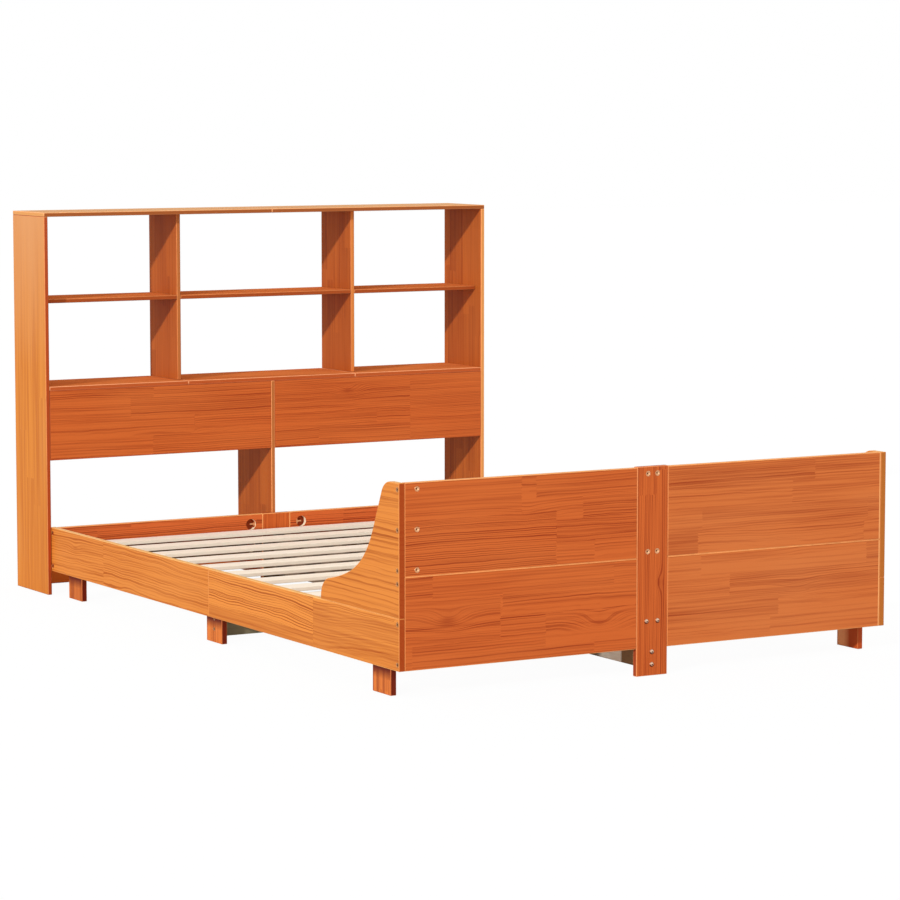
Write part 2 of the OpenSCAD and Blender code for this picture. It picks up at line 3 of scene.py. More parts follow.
import bpy
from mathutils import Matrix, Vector


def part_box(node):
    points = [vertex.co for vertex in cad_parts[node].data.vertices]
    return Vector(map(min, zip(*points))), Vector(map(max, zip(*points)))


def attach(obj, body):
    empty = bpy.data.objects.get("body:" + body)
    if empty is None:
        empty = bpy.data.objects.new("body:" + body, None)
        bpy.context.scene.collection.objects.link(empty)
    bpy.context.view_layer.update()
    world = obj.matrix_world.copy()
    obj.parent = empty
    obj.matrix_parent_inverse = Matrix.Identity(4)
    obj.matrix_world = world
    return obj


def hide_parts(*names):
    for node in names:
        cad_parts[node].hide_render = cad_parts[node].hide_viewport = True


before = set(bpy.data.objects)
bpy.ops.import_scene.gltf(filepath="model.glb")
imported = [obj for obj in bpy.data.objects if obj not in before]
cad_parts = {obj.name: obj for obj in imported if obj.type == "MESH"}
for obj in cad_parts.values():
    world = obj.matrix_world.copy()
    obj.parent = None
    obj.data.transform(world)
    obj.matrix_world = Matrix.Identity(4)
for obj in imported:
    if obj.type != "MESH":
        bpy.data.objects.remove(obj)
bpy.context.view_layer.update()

axisNumber = {"X": 0, "Y": 1, "Z": 2}


# Shader sums written as plain Python: a Wire is one socket of a node tree
class Wire:
    def __init__(self, tree, socket=None):
        self.tree = tree
        self.socket = socket

    def feed(self, target, value):
        if isinstance(value, Wire):
            self.tree.links.new(value.socket, target)
        else:
            target.default_value = value

    def node(self, kind, settings=None, sockets=None, out=0):
        made = self.tree.nodes.new(kind)
        for key, value in (settings or {}).items():
            if key == "stops":
                # the first two stops are the ramp's own ends
                elements = made.color_ramp.elements
                for number, (place, colour) in enumerate(value):
                    stop = elements[number] if number < 2 else elements.new(place)
                    stop.position, stop.color = place, colour
            else:
                setattr(made, key, value)
        for key, value in (sockets or {}).items():
            self.feed(made.inputs[key], value)
        return Wire(self.tree, made.outputs[out])

    def maths(self, operation, *values):
        return self.node("ShaderNodeMath", {"operation": operation}, dict(enumerate(values)))

    def __add__(self, other):
        return self.maths("ADD", self, other)

    def __radd__(self, other):
        return self.maths("ADD", other, self)

    def __sub__(self, other):
        return self.maths("SUBTRACT", self, other)

    def __rsub__(self, other):
        return self.maths("SUBTRACT", other, self)

    def __mul__(self, other):
        return self.maths("MULTIPLY", self, other)

    def __rmul__(self, other):
        return self.maths("MULTIPLY", other, self)

    def __truediv__(self, other):
        return self.maths("DIVIDE", self, other)

    def __pow__(self, other):
        return self.maths("POWER", self, other)

    def __abs__(self):
        return self.maths("ABSOLUTE", self)

    def floor(self):
        return self.maths("FLOOR", self)

    def sibling(self, out):
        return Wire(self.tree, self.socket.node.outputs[out])


def newFinish(name):
    finish = bpy.data.materials.new(name)
    finish.use_nodes = True
    finish.node_tree.nodes.clear()
    return finish, Wire(finish.node_tree)


def finishEnd(wire, shader):
    end = wire.tree.nodes.new("ShaderNodeOutputMaterial")
    wire.tree.links.new(shader.socket, end.inputs["Surface"])


def closeFinish(wire, sockets, height, bump, bumpDistance):
    relief = {"Strength": bump, "Distance": bumpDistance, "Height": height}
    sockets["Normal"] = wire.node("ShaderNodeBump", None, relief, "Normal")
    finishEnd(wire, wire.node("ShaderNodeBsdfPrincipled", None, sockets, "BSDF"))


def blendColours(wire, amount, first, second):
    # sockets 0, 6 and 7 are a colour mix's factor, A and B, and its result is output 2
    settings = {"data_type": "RGBA", "clamp_factor": True}
    return wire.node("ShaderNodeMix", settings, {0: amount, 6: first, 7: second}, 2)


# Pine, glued up from strips that are finger-jointed end to end. Widths, lengths and gaps are in metres,
# and rings, streaks and stripTone say how strongly these show. Each entry that paints light or shade onto
# a board gives part of it another colour: axis letter, start, rate and colour, and where only one side of
# the board turns, the axis letter and sign of the way that it faces
honeyFront = {
    "light": (0.640, 0.134, 0.025, 1), "deep": (0.320, 0.038, 0.006, 1), "pale": (0.700, 0.200, 0.046, 1),
    "endGrain": (0.400, 0.055, 0.010, 1), "edge": (0.820, 0.370, 0.115, 1),
    "rings": 1.2, "ringGap": 0.0056, "stripWidth": 0.057, "stripLength": 0.52, "stripTone": 0.15,
    "streaks": 1.5, "paleness": 0.0, "fade": 0.0, "roughness": 0.48, "specular": 0.12,
    "paintedShading": (), "wornEnd": 0.0,
}
honeyFrontPale = dict(
    honeyFront, light=(0.650, 0.165, 0.037, 1), deep=(0.360, 0.052, 0.010, 1), pale=(0.720, 0.245, 0.075, 1),
    rings=0.75, streaks=2.1, stripTone=0.34, wornEnd=0.0048)
honeySide = dict(
    honeyFront, light=(0.660, 0.215, 0.033, 1), deep=(0.420, 0.095, 0.007, 1), pale=(0.720, 0.280, 0.062, 1),
    edge=(0.860, 0.470, 0.150, 1), endGrain=(0.385, 0.045, 0.004, 1), rings=1.5, ringGap=0.0072,
    stripWidth=0.072, stripLength=0.60)
honeyRail = dict(honeySide, light=(0.700, 0.238, 0.038, 1), deep=(0.350, 0.064, 0.004, 1))
honeySideRight = dict(honeySide, endGrain=(0.473, 0.141, 0.021, 1))
honeyWing = dict(honeySide, deep=(0.360, 0.078, 0.007, 1), ringGap=0.0120)
honeyWingRight = dict(honeyWing, endGrain=honeySideRight["endGrain"])
honeyCase = dict(
    honeySide, light=(0.640, 0.214, 0.026, 1), deep=(0.430, 0.100, 0.009, 1), pale=(0.650, 0.285, 0.105, 1),
    edge=(0.430, 0.050, 0.010, 1), rings=0.45, stripWidth=0.048, stripLength=0.9, stripTone=0.6, streaks=2.1,
    paleness=-0.10, fade=1.0)
honeyTop = dict(
    honeyCase, light=(0.720, 0.350, 0.115, 1), deep=(0.560, 0.210, 0.055, 1), pale=(0.760, 0.420, 0.170, 1),
    endGrain=(0.660, 0.290, 0.090, 1), edge=(0.350, 0.080, 0.018, 1), stripTone=0.3, fade=0.0, specular=0.05)
# a darker look for the dividers, the upright and the bookcase's right side, partly their own tone and partly
# painted shade
honeyShade = dict(
    honeyFront, light=(0.440, 0.104, 0.015, 1), deep=(0.230, 0.034, 0.005, 1), pale=(0.500, 0.140, 0.026, 1),
    edge=(0.520, 0.165, 0.045, 1), rings=0.8, stripWidth=0.038, stripTone=0.5, specular=0.06)
honeyDivider = dict(honeyShade, edge=(0.755, 0.243, 0.055, 1))
honeyEnd = dict(honeyShade, edge=(0.820, 0.340, 0.095, 1))
honeyPlank = dict(honeyFront, edge=(0.330, 0.050, 0.012, 1), streaks=2.0)
honeyShelf = dict(
    honeyFront, light=(0.780, 0.235, 0.066, 1), deep=(0.400, 0.060, 0.014, 1), edge=(0.500, 0.092, 0.024, 1),
    paleness=0.10, specular=0.0)
honeyMidShelf = dict(honeyShelf, edge=(0.370, 0.068, 0.016, 1))
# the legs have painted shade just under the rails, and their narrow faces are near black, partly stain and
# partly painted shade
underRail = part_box("side_rail_left_foot")[0].z
honeyLeg = dict(
    honeyFront, light=(0.680, 0.185, 0.034, 1), deep=(0.240, 0.030, 0.003, 1), edge=(0.130, 0.001, 0.001, 1),
    stripWidth=0.014, stripLength=2.0, stripTone=1.6, rings=1.0,
    paintedShading=[("Z", underRail - 0.034, 40.0, (0.130, 0.013, 0.003, 1))])
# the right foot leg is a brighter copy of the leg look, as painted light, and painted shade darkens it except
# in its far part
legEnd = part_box("leg_right_foot")[1].y
litLeg = dict(
    honeyLeg, light=(0.980, 0.420, 0.180, 1), deep=(0.700, 0.220, 0.060, 1),
    paintedShading=[("Y", legEnd - 0.030, -40.0, (0.520, 0.080, 0.014, 1))])
bareWood = {
    "light": (0.960, 0.840, 0.690, 1), "deep": (0.800, 0.640, 0.460, 1), "pale": (0.970, 0.880, 0.760, 1),
    "endGrain": (0.740, 0.590, 0.420, 1), "edge": (0.940, 0.810, 0.650, 1),
    "rings": 0.45, "ringGap": 0.0065, "stripWidth": 0.2, "stripLength": 0.8, "stripTone": 0.12,
    "streaks": 0.7, "paleness": 0.0, "fade": 0.0, "roughness": 0.68, "specular": 0.12,
    "paintedShading": (), "wornEnd": 0.0,
}
# painted light makes the slat beside the head rail paler towards it, against the shade of the head rail
slatWood = dict(
    bareWood, light=(0.990, 0.880, 0.735, 1), deep=(0.840, 0.690, 0.510, 1), pale=(0.995, 0.915, 0.800, 1),
    paintedShading=[("Y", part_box("slat_13")[0].y - 0.005, 9.0, (1.0, 0.990, 0.900, 1))])
# the cross beam is a darker copy of bare wood, as painted shade
crossBeamShadeWood = dict(
    bareWood, light=(0.250, 0.215, 0.130, 1), deep=(0.150, 0.120, 0.060, 1), pale=(0.300, 0.260, 0.170, 1))
# the centre beam has painted shade under the slats and beside the foot plank
shadedBeam = dict(
    bareWood, light=(0.990, 0.900, 0.750, 1),
    paintedShading=[("Y", -0.925, 40.0, (0.200, 0.135, 0.090, 1)), ("Y", -1.010, -150.0, (0.290, 0.165, 0.075, 1)),
          ("Y", -1.066, -300.0, (0.560, 0.340, 0.200, 1))])
# the head rail and its plank have painted shade near the slats, on the side towards the foot
shadedRail = dict(
    honeyFront, light=(0.640, 0.124, 0.027, 1), deep=(0.250, 0.022, 0.003, 1), rings=2.4,
    paintedShading=[("Z", 0.150, -26.0, (0.125, 0.052, 0.014, 1), ("Y", -1.0))])
shadedPlank = dict(honeyPlank, paintedShading=shadedRail["paintedShading"])
# the kick board has painted light, a bright red, on the side towards the bed
kickLow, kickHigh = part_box("case_kick_board")
honeyKick = dict(honeySide, paintedShading=[("Y", (kickLow.y + kickHigh.y) / 2, -150.0, (0.980, 0.270, 0.040, 1))])
# What all the pine shares. Scales are per metre, and a Spread is how far a block or year may go past a value
grain = {
    "patterns": {  # scale along the grain, scale across it, detail
        "sway": (2.6, 9.0, 3.0), "ripple": (15.0, 16.0, 2.0), "fibre": (9.0, 520.0, 1.0),
        "streak": (2.4, 140.0, 2.0), "breaks": (4.5, 60.0, 2.0), "cloud": (1.5, 7.0, 2.0)},
    "fingerDepth": 0.0035, "rowSlide": 7.0, "blockShift": 37.0, "firstSetRow": 20,
    "aside": 0.015, "asideSpread": 0.11, "behind": 0.020, "behindSpread": 0.04, "lean": 0.030,
    "swayReach": 0.015, "rippleReach": 0.0040, "knotStretch": 2.4, "knotSharpness": 7.0,
    "gap": 0.75, "gapSpread": 0.5, "unevenScale": 0.35, "unevenReach": 1.6,
    "yearRamp": [(0.0, 0.0), (1.0, 0.0), (0.50, 0.09), (0.80, 1.0), (0.92, 0.85)],
    "yearDark": 0.5, "yearDarkSpread": 0.6, "slantRate": 1.6, "late": 0.65, "lateSpread": 0.5,
    "breakRate": 1.6, "breakLeast": 0.1, "meanDark": 0.20, "fibreDark": 0.2,
    "darkRate": 0.78, "darkLeast": 0.08, "cloudMiddle": 0.45, "cloudRate": 0.9,
    "fadeFrom": 0.62, "fadeRate": 1.9,
    "edgeSharpness": 6.0, "edgeCover": 0.9, "wornRate": 1500.0, "wornColour": (0.950, 0.420, 0.150, 1),
    "lateHeight": 0.5, "fibreHeight": 0.5, "bump": 0.25, "bumpDistance": 0.0004,
    "fibreRoughness": 0.16, "lateRoughness": 0.05,
}


def pineFinish(name, node, look, layout, seed, knots=(), wave=1.0, blocks=()):
    # layout names the axes along the grain, across the strips and through the board
    low, high = (Vector(corner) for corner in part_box(node))
    alongAxis, acrossAxis, throughAxis = (axisNumber[letter] for letter in layout)
    finish, wire = newFinish(name)
    place = wire.node("ShaderNodeTexCoord", None, None, "Object")
    parts = wire.node("ShaderNodeSeparateXYZ", None, {0: place}, "X")
    along, across, through = (parts.sibling(letter) for letter in layout)
    along = along - low[alongAxis]
    across = across - low[acrossAxis]
    through = through - (low[throughAxis] + high[throughAxis]) / 2
    facing = wire.node("ShaderNodeSeparateXYZ", None, {0: place.sibling("Normal")}, "X")

    def point(x, y, z):
        return wire.node("ShaderNodeCombineXYZ", None, {0: x, 1: y, 2: z})

    def noise(pattern, drift=None, start=None):
        alongScale, acrossScale, detail = grain["patterns"][pattern]
        x, y, z = along * alongScale, across * acrossScale, through * acrossScale
        if start is not None:
            x = x + start
        if drift is not None:
            z = z + drift
        sockets = {"Vector": point(x, y, z), "Scale": 1.0, "Detail": detail}
        return wire.node("ShaderNodeTexNoise", None, sockets, 0)

    def chanceOf(dimensions, sockets, out=0):
        return wire.node("ShaderNodeTexWhiteNoise", {"noise_dimensions": dimensions}, sockets, out)

    # each block of each strip draws its own tone, rings and heart
    row = (across / look["stripWidth"]).floor()
    slide = chanceOf("2D", {"Vector": point(row, seed, 0.0)})
    fingers = wire.maths("PINGPONG", across, grain["fingerDepth"])
    column = ((along + fingers) / look["stripLength"] + slide * grain["rowSlide"]).floor()
    centre = (row + 0.5) * look["stripWidth"]
    rings, shade, heartShift = look["rings"], 0.0, 0.0
    # a listed block lies over the drawn ones
    for number, block in enumerate(blocks, grain["firstSetRow"]):
        near, far, bottom, top, blockRings, blockShade, blockHeart = block
        inside = wire.maths("LESS_THAN", abs(along + fingers - (near + far) / 2), (far - near) / 2)
        inside = inside * wire.maths("LESS_THAN", abs(across - (bottom + top) / 2), (top - bottom) / 2)
        row = row + (number - row) * inside
        column = column * (1 - inside)
        centre = centre + ((bottom + top) / 2 - centre) * inside
        rings = inside * (blockRings - look["rings"]) + rings
        shade = inside * blockShade + shade
        heartShift = inside * blockHeart + heartShift
    chance = chanceOf("3D", {"Vector": point(row, column, seed)}, "Color")
    tone = chance.sibling("Value")
    draws = wire.node("ShaderNodeSeparateColor", None, {0: chance}, 0)
    first, second, third = draws, draws.sibling(1), draws.sibling(2)

    # growth rings round a heart that lies behind the strip and to one side of it
    shift = tone * grain["blockShift"] + seed
    sway = noise("sway", shift) - 0.5
    ripple = noise("ripple", shift) - 0.5
    offSide = across - centre + (first * grain["asideSpread"] + grain["aside"]) + heartShift
    offDeep = through + grain["behind"] + second * grain["behindSpread"]
    heart = wire.maths("SQRT", offSide * offSide + offDeep * offDeep)
    radius = heart + along * (third - 0.5) * grain["lean"]
    radius = radius + sway * (grain["swayReach"] * wave) + ripple * grain["rippleReach"]
    dark = (tone - 0.5) * look["stripTone"] + shade
    for alongKnot, acrossKnot, size, lift, heartwood in knots:
        far = (along - alongKnot) / (size * grain["knotStretch"])
        wide = (across - acrossKnot) / size
        swell = wire.maths("EXPONENT", (far * far + wide * wide) * -1.0)
        radius = radius + swell * lift
        dark = dark + swell ** grain["knotSharpness"] * heartwood
    # the years differ in width and in darkness, and each darkens towards its end
    years = radius / look["ringGap"] * (grain["gap"] + grain["gapSpread"] * second)
    uneven = wire.node(
        "ShaderNodeTexNoise", {"noise_dimensions": "1D"}, {"W": years * grain["unevenScale"] + shift}, 0)
    years = years + uneven * grain["unevenReach"]
    year = years.floor()
    strength = chanceOf("1D", {"W": year + shift})
    ramp = [(spot, (grey, grey, grey, 1)) for spot, grey in grain["yearRamp"]]
    late = wire.node("ShaderNodeValToRGB", {"stops": ramp}, {0: years - year}, "Color")
    slant = wire.maths("MINIMUM", offSide / heart * grain["slantRate"], 1.0)
    late = wire.node("ShaderNodeRGBToBW", None, {0: late})
    late = late * (strength * grain["yearDarkSpread"] + grain["yearDark"]) * slant
    fibre = noise("fibre")
    streak = noise("streak", shift)
    breaks = noise("breaks", shift)
    cloud = noise("cloud", start=seed)

    lines = late * (grain["late"] + grain["lateSpread"] * second)
    lines = lines * (breaks * grain["breakRate"] + grain["breakLeast"])
    dark = dark + grain["meanDark"] + (lines - grain["meanDark"]) * rings
    dark = dark + (streak - 0.5) * look["streaks"] + (fibre - 0.5) * grain["fibreDark"]
    colour = blendColours(wire, dark * grain["darkRate"] + grain["darkLeast"], look["light"], look["deep"])
    paleness = (cloud - grain["cloudMiddle"]) * grain["cloudRate"] + look["paleness"]
    if look["fade"]:
        beyond = wire.maths("MAXIMUM", along - grain["fadeFrom"], 0.0)
        paleness = paleness + beyond * (look["fade"] * grain["fadeRate"])
    colour = blendColours(wire, paleness, colour, look["pale"])
    for letter, key in ((layout[1], "edge"), (layout[0], "endGrain")):
        turn = abs(facing.sibling(letter)) ** grain["edgeSharpness"] * grain["edgeCover"]
        colour = blendColours(wire, turn, colour, look[key])
    if look["wornEnd"]:
        reach = high[alongAxis] - low[alongAxis] - look["wornEnd"]
        colour = blendColours(wire, (along - reach) * grain["wornRate"], colour, grain["wornColour"])
    # each entry paints light or shade as another colour over part of the board
    for letter, start, rate, paintedColour, *sides in look["paintedShading"]:
        amount = (parts.sibling(letter) - start) * rate
        for faceLetter, sign in sides:
            amount = wire.maths("MINIMUM", amount, facing.sibling(faceLetter) * sign)
        colour = blendColours(wire, amount, colour, paintedColour)
    height = late * grain["lateHeight"] + fibre * grain["fibreHeight"]
    roughness = look["roughness"] + (fibre - 0.5) * grain["fibreRoughness"] + late * grain["lateRoughness"]
    closeFinish(wire, {"Base Color": colour, "Roughness": roughness, "Specular IOR Level": look["specular"]},
                height, grain["bump"], grain["bumpDistance"])
    return finish


edgeWear = {
    "patchScale": 34.0, "patchDetail": 3.0, "patchMiddle": 0.45, "patchRate": 1.5, "wornTone": 0.62,
    "seamRate": 30.0, "seamCover": 1.3, "roughnessSwing": 0.2, "specular": 0.12,
    "bump": 0.15, "bumpDistance": 0.0003,
}


def arrisFinish(name, colour, roughness, shades=(), seam=None):
    # the rounded edges, paler where the stain is thin and worn and partly as a painted highlight, with other
    # colours on the sides that face some ways
    finish, wire = newFinish(name)
    place = wire.node("ShaderNodeTexCoord", None, None, "Object")
    facing = wire.node("ShaderNodeSeparateXYZ", None, {0: place.sibling("Normal")}, "X")
    patch = wire.node(
        "ShaderNodeTexNoise", None,
        {"Vector": place, "Scale": edgeWear["patchScale"], "Detail": edgeWear["patchDetail"]}, 0)
    worn = tuple(edgeWear["wornTone"] * part for part in colour[:3]) + (1,)
    tint = blendColours(wire, (patch - edgeWear["patchMiddle"]) * edgeWear["patchRate"], colour, worn)
    for letter, rate, shadeColour in shades:
        tint = blendColours(wire, facing.sibling(letter) * rate, tint, shadeColour)
    if seam:
        # the top edge is less worn where another board stands on it
        end, seamColour = seam
        spot = wire.node("ShaderNodeSeparateXYZ", None, {0: place}, "Y")
        covered = wire.maths("MINIMUM", (end - spot) * edgeWear["seamRate"], edgeWear["seamCover"])
        tint = blendColours(wire, covered * facing.sibling("Z"), tint, seamColour)
    roughness = roughness + (patch - 0.5) * edgeWear["roughnessSwing"]
    closeFinish(
        wire, {"Base Color": tint, "Roughness": roughness, "Specular IOR Level": edgeWear["specular"]},
        patch, edgeWear["bump"], edgeWear["bumpDistance"])
    return finish


metalWearAndHighlight = {
    "patchScale": 420.0, "patchDetail": 3.0, "patchMiddle": 0.4, "patchRate": 1.6, "dullTone": 0.72,
    "crownFrom": 0.72, "crownRate": 4.5, "upperRate": 0.9,
    "roughnessSwing": 0.25, "bump": 0.2, "bumpDistance": 0.0001,
}


def metalFinish(name, colour, roughness, rimShadeColour=None):
    finish, wire = newFinish(name)
    place = wire.node("ShaderNodeTexCoord", None, None, "Object")
    patch = wire.node(
        "ShaderNodeTexNoise", None,
        {"Vector": place, "Scale": metalWearAndHighlight["patchScale"], "Detail": metalWearAndHighlight["patchDetail"]}, 0)
    dull = tuple(metalWearAndHighlight["dullTone"] * part for part in colour[:3]) + (1,)
    tint = blendColours(wire, (patch - metalWearAndHighlight["patchMiddle"]) * metalWearAndHighlight["patchRate"], colour, dull)
    if rimShadeColour:
        # a painted highlight on the crown and the upper side, and painted shade round the rim and below
        facing = wire.node("ShaderNodeSeparateXYZ", None, {0: place.sibling("Normal")}, "X")
        crown = wire.maths("MAXIMUM", abs(facing), abs(facing.sibling("Y")))
        paintedHighlight = (crown - metalWearAndHighlight["crownFrom"]) * metalWearAndHighlight["crownRate"]
        tint = blendColours(wire, paintedHighlight + facing.sibling("Z") * metalWearAndHighlight["upperRate"], rimShadeColour, tint)
    roughness = roughness + (patch - 0.5) * metalWearAndHighlight["roughnessSwing"]
    closeFinish(
        wire, {"Base Color": tint, "Roughness": roughness, "Metallic": 1.0},
        patch, metalWearAndHighlight["bump"], metalWearAndHighlight["bumpDistance"])
    return finish


bedArris = arrisFinish("bedArris", (0.94, 0.41, 0.135, 1), 0.45)
boardEnd, railEnd = (0.66, 0.165, 0.042, 1), (0.60, 0.170, 0.036, 1)
boardArris = arrisFinish(
    "boardArris", (0.94, 0.41, 0.135, 1), 0.45, [("X", -1.3, boardEnd), ("X", 1.3, boardEnd)])
plankArris = arrisFinish("plankArris", (0.84, 0.30, 0.105, 1), 0.45)
railArris = arrisFinish(
    "railArris", (0.88, 0.45, 0.14, 1), 0.45, [("Y", -1.3, railEnd), ("Y", 1.3, railEnd)],
    seam=(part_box("wing_left")[1].y, (0.68, 0.240, 0.055, 1)))
# the bookcase edges take painted shade on the sides that face down, right and back
caseArris = arrisFinish(
    "caseArris", (0.76, 0.255, 0.080, 1), 0.45,
    [("Z", -1.8, (0.22, 0.038, 0.009, 1)), ("X", 1.8, (0.16, 0.020, 0.005, 1)),
     ("Y", 1.2, (0.40, 0.160, 0.050, 1))])
# the top and the low shelf edges take painted shade on the sides that face down
topArris = arrisFinish("topArris", (0.94, 0.43, 0.170, 1), 0.45, [("Z", -1.8, (0.25, 0.048, 0.012, 1))])
shelfArris = arrisFinish("shelfArris", (0.95, 0.41, 0.185, 1), 0.45, [("Z", -1.8, (0.46, 0.080, 0.020, 1))])
panelArris = arrisFinish("panelArris", (0.50, 0.092, 0.022, 1), 0.5)
uprightArris = arrisFinish("uprightArris", (0.96, 0.37, 0.130, 1), 0.45)
legArris = arrisFinish("legArris", (0.60, 0.160, 0.045, 1), 0.5)
bareArris = arrisFinish("bareArris", (0.84, 0.73, 0.58, 1), 0.6)
cutWood = arrisFinish("cutWood", (0.95, 0.80, 0.58, 1), 0.75)
# painted shade for the floor of the pockets
pocketFloorShade = arrisFinish("pocketFloorShade", (0.30, 0.042, 0.009, 1), 0.7)
zinc = metalFinish("yellowZincSteel", (0.95, 0.52, 0.27, 1), 0.42)
# the domed heads have a painted highlight and painted shade
bronze = metalFinish("bronzedSteel", (0.98, 0.66, 0.46, 1), 0.34, (0.16, 0.030, 0.009, 1))
# a darker steel for the beam screws
darkerSteel = metalFinish("darkerSteel", (0.46, 0.23, 0.08, 1), 0.5)
# painted shade for the recesses in the domed heads
bronzeRecessShade = metalFinish("bronzeRecessShade", (0.36, 0.15, 0.07, 1), 0.5)
boltSteel = metalFinish("boltSteel", (0.66, 0.28, 0.10, 1), 0.35)
# painted shade for the recesses in the other heads
recessShadeSteel = metalFinish("recessShadeSteel", (0.045, 0.030, 0.020, 1), 0.5)
dowelWood = arrisFinish("dowelWood", (0.82, 0.66, 0.42, 1), 0.6)
print("finishes ready")


# Boards
arris = {"width": 0.0016, "segments": 3, "profile": 0.5}


def deselect():
    bpy.ops.object.select_all(action="DESELECT")


def pick(piece):
    deselect()
    piece.select_set(True)
    bpy.context.view_layer.objects.active = piece


def settle(piece):
    # the object ends at the origin, with its place in its mesh
    pick(piece)
    bpy.ops.object.transform_apply(location=True, rotation=True, scale=True)


def easeEdges(piece):
    # every edge is rounded, and the rounding takes the second finish
    pick(piece)
    bpy.ops.object.mode_set(mode="EDIT")
    bpy.ops.mesh.select_all(action="SELECT")
    bpy.ops.mesh.bevel(
        offset=arris["width"], segments=arris["segments"], profile=arris["profile"],
        affect="EDGES", material=1)
    bpy.ops.object.mode_set(mode="OBJECT")
    for face in piece.data.polygons:
        face.use_smooth = face.material_index == 1


def addBoard(name, node, finishes):
    low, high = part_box(node)
    deselect()
    bpy.ops.mesh.primitive_cube_add(size=1, location=(low + high) / 2, scale=high - low)
    board = bpy.context.object
    board.name = board.data.name = name
    settle(board)
    for finish in finishes:
        board.data.materials.append(finish)
    easeEdges(board)
    return board


def turned(name, rings, sides):
    # a round piece drawn up the Z axis ring by ring, each ring a height and a radius
    deselect()
    bpy.ops.mesh.primitive_circle_add(
        vertices=sides, radius=rings[0][1], fill_type="NGON", location=(0, 0, rings[0][0]))
    piece = bpy.context.object
    piece.name = piece.data.name = name
    settle(piece)
    bpy.ops.object.mode_set(mode="EDIT")
    bpy.ops.mesh.select_all(action="SELECT")
    for (lastZ, lastR), (z, r) in zip(rings, rings[1:]):
        bpy.ops.mesh.extrude_region_move(TRANSFORM_OT_translate={"value": (0, 0, z - lastZ)})
        if not math.isclose(r, lastR):
            bpy.ops.transform.resize(value=(r / lastR, r / lastR, 1), center_override=(0, 0, z))
    bpy.ops.mesh.select_all(action="SELECT")
    bpy.ops.mesh.normals_make_consistent(inside=False)
    bpy.ops.object.mode_set(mode="OBJECT")
    return piece


def subtract(piece, cutter):
    pick(piece)
    bpy.ops.object.modifier_add(type="BOOLEAN")
    boolean = piece.modifiers[-1]
    boolean.operation = "DIFFERENCE"
    boolean.solver = "EXACT"
    boolean.material_mode = "TRANSFER"
    boolean.object = cutter
    bpy.ops.object.modifier_apply(modifier=boolean.name)
    bpy.data.objects.remove(cutter, do_unlink=True)


def stand(piece, spot, way):
    # turns a piece drawn up the Z axis so that its head faces back along way, at spot
    piece.location = spot
    piece.rotation_euler = (-Vector(way)).to_track_quat("Z", "Y").to_euler()
    settle(piece)


def dress(piece, node):
    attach(piece, "root")
    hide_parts(node)


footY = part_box("footboard_plank")[0].y
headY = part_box("head_rail_left")[1].y
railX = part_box("side_rail_right_foot")[1].x
railBottom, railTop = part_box("side_rail_left_foot")[0].z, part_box("side_rail_left_foot")[1].z
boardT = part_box("footboard_plank")[1].y - footY
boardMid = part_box("footboard_lower_left")[1].z
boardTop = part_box("footboard_upper_left")[1].z
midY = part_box("side_rail_left_foot")[1].y
slatTop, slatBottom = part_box("slat_1")[1].z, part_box("slat_1")[0].z
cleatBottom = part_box("slat_cleat_left")[0].z
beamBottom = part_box("cross_beam")[0].z

slats = {"count": 13, "seed": 111}

# Fixings: each is a face point, the way that it goes into the wood, and its kind
fixings = {
    "edgeInset": 0.016, "barrelInset": 0.050, "plankScrewGap": 0.028,
    "battenScrewInset": 0.012, "battenScrewShares": (0.25, 0.75),
    "domeGap": 0.033, "domeRise": 0.068, "beamBoltRises": (0.012, 0.044),
    "crossScrewRises": (0.020, 0.048), "legScrewSpread": 0.025, "cleatScrews": 6, "cleatScrewInset": 0.150,
    "beamScrewRises": (0.034, 0.094), "pocketInset": 0.039, "pocketDrop": 0.030, "slatScrewX": 0.7015,
}
kinds = {
    "bolt": {"shank": 0.0030, "head": 0.0060, "length": 0.057, "recess": 0.0021, "recessSides": 6},
    "barrel": {"shank": 0.0065, "head": 0.0065, "length": 0.013, "recess": 0.0019, "recessSides": 6,
               "dish": 0.0052},
    "dome": {"shank": 0.0030, "head": 0.00625, "length": 0.028, "recess": 0.0020, "recessSides": 6,
             "crown": 0.003},
    "longDome": {"shank": 0.0030, "head": 0.00625, "length": 0.050, "recess": 0.0020, "recessSides": 6,
                 "crown": 0.003},
    "plankScrew": {"shank": 0.00225, "head": 0.0065, "length": 0.030, "recess": 0.0019, "recessSides": 6,
                   "dish": 0.0052},
    "screw": {"shank": 0.00225, "head": 0.0045, "length": 0.028, "recess": 0.0016, "recessSides": 4},
    "cleatScrew": {"shank": 0.00225, "head": 0.0045, "length": 0.030, "recess": 0.0016, "recessSides": 4},
    "beamScrew": {"shank": 0.00225, "head": 0.0045, "length": 0.050, "recess": 0.0016, "recessSides": 4},
    "slatScrew": {"shank": 0.00175, "head": 0.0035, "length": 0.024, "recess": 0.0012, "recessSides": 4},
    "pocket": {"shank": 0.0160, "head": 0.0160, "length": 0.012},
}


def rowHeights(bottom, top):
    return [bottom + fixings["edgeInset"], (bottom + top) / 2, top - fixings["edgeInset"]]


